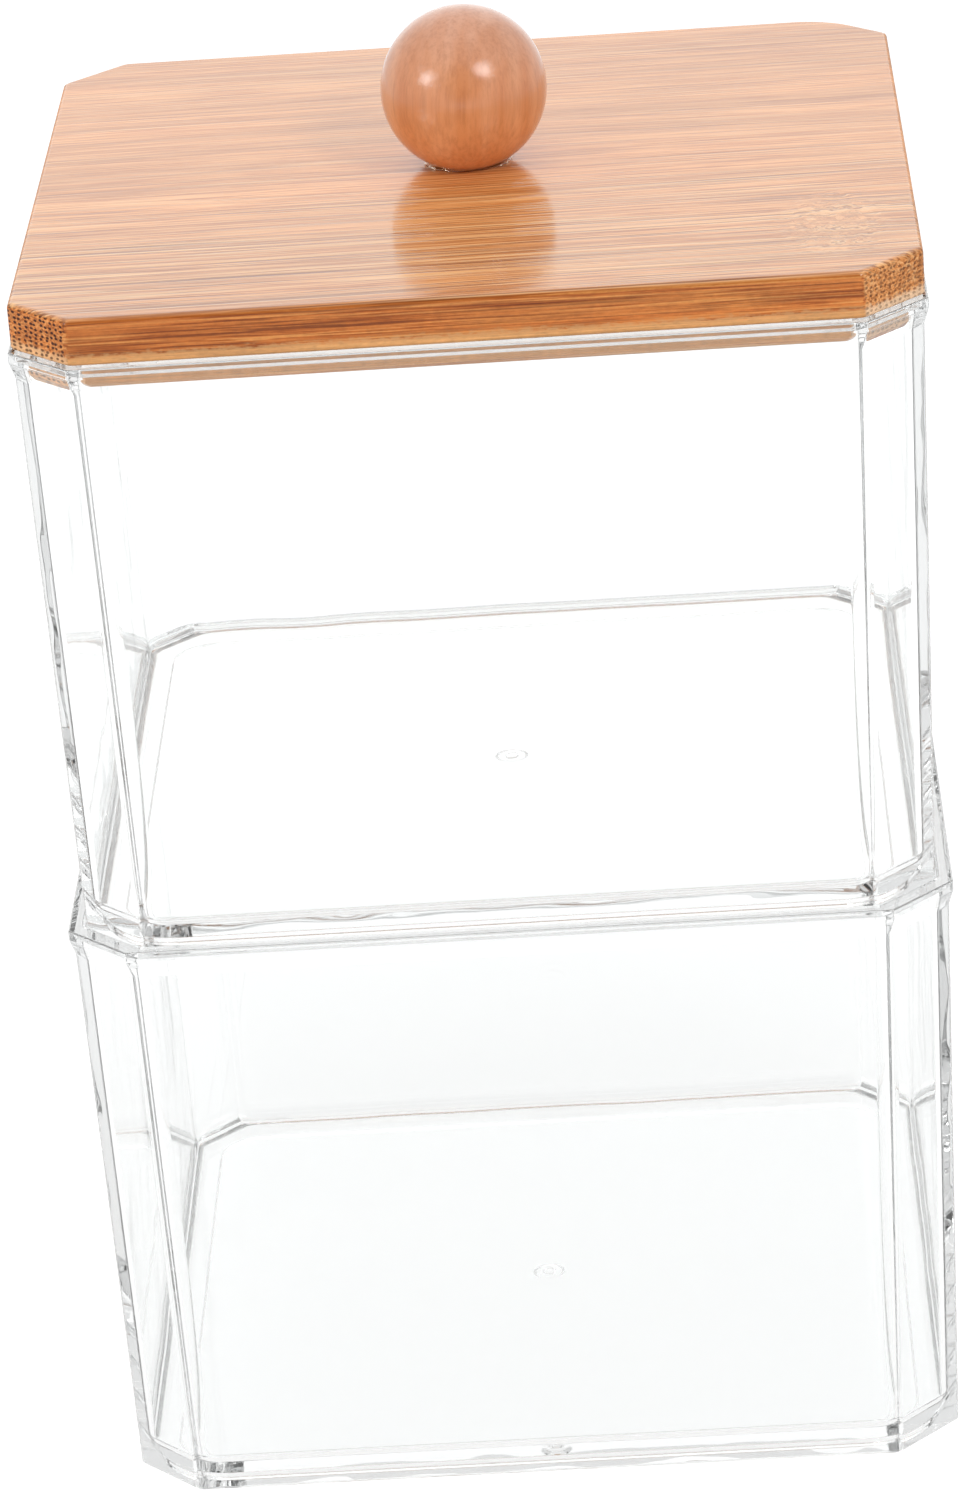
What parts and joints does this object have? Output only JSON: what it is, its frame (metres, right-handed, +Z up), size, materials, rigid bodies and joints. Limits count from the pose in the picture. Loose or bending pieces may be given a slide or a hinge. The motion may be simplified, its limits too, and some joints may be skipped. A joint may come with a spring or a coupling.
{
  "type": "cotton pad holder",
  "caption": "Stack of two clear open boxes with cut corners, for cotton pads and swabs, closed by a lift-off bamboo lid with a wooden ball knob.",
  "frame": {"origin": "centre of the face that the lower box stands on", "axes": "+Z up through the stack, -Y towards the user, X along the grain of the lid"},
  "size_m": [0.095, 0.093, 0.155],
  "materials": {
    "clear_plastic": "water-clear moulded polystyrene, polished",
    "bamboo": "carbonised bamboo strips under clear gloss lacquer",
    "knob_wood": "turned beech under clear gloss lacquer",
    "screw_steel": "bright zinc plate",
    "clear_glue": "clear cured glue"
  },
  "bodies": {
    "base": {"lower_box": "clear_plastic"},
    "upper": {"upper_box": "clear_plastic"},
    "lid": {"lid_board": "bamboo", "knob": "knob_wood", "knob_screw": "screw_steel", "glue_bead": "clear_glue"}
  },
  "joints": [
    {"name": "upper_box_lift", "type": "slide", "parent": "base", "child": "upper", "axis": [0, 0, 1], "range_m": [0, 0.08]},
    {"name": "lid_lift", "type": "slide", "parent": "upper", "child": "lid", "axis": [0, 0, 1], "range_m": [0, 0.06]}
  ]
}
